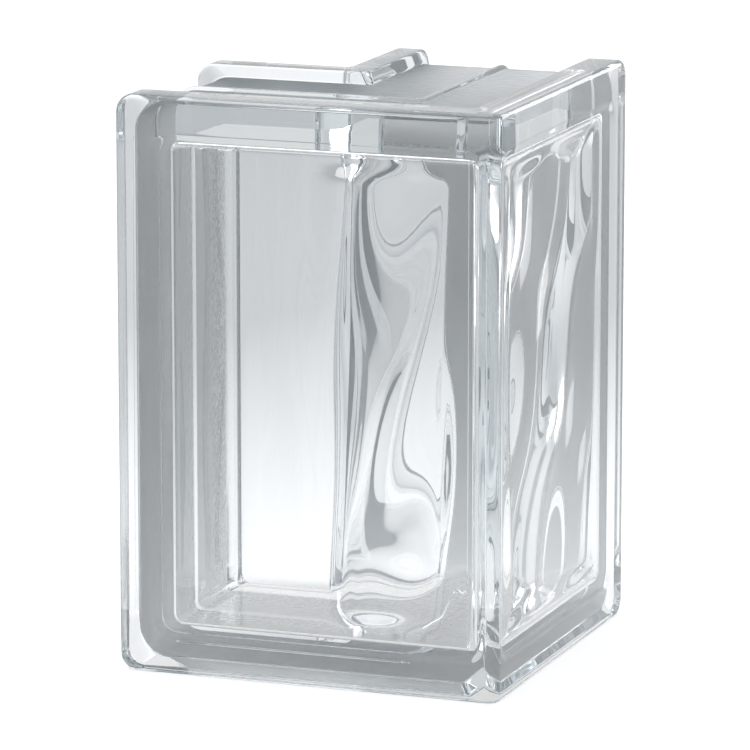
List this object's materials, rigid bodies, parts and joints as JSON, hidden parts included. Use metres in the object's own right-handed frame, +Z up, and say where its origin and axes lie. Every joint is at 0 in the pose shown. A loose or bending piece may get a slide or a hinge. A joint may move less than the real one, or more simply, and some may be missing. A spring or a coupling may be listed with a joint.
{
  "type": "corner glass block",
  "caption": "Clear hollow glass block for a right-angled corner, with wavy panes and a mortar channel round its edges.",
  "frame": {"origin": "middle of the underside of the block's box", "axes": "+Z up along the block's height; the outer edge is at +X and -Y; one leg runs towards -X and one towards +Y"},
  "size_m": [0.13, 0.13, 0.19],
  "materials": {
    "glass": "clear and fire polished"
  },
  "bodies": {
    "root": {"glass_block": "glass"}
  },
  "joints": []
}
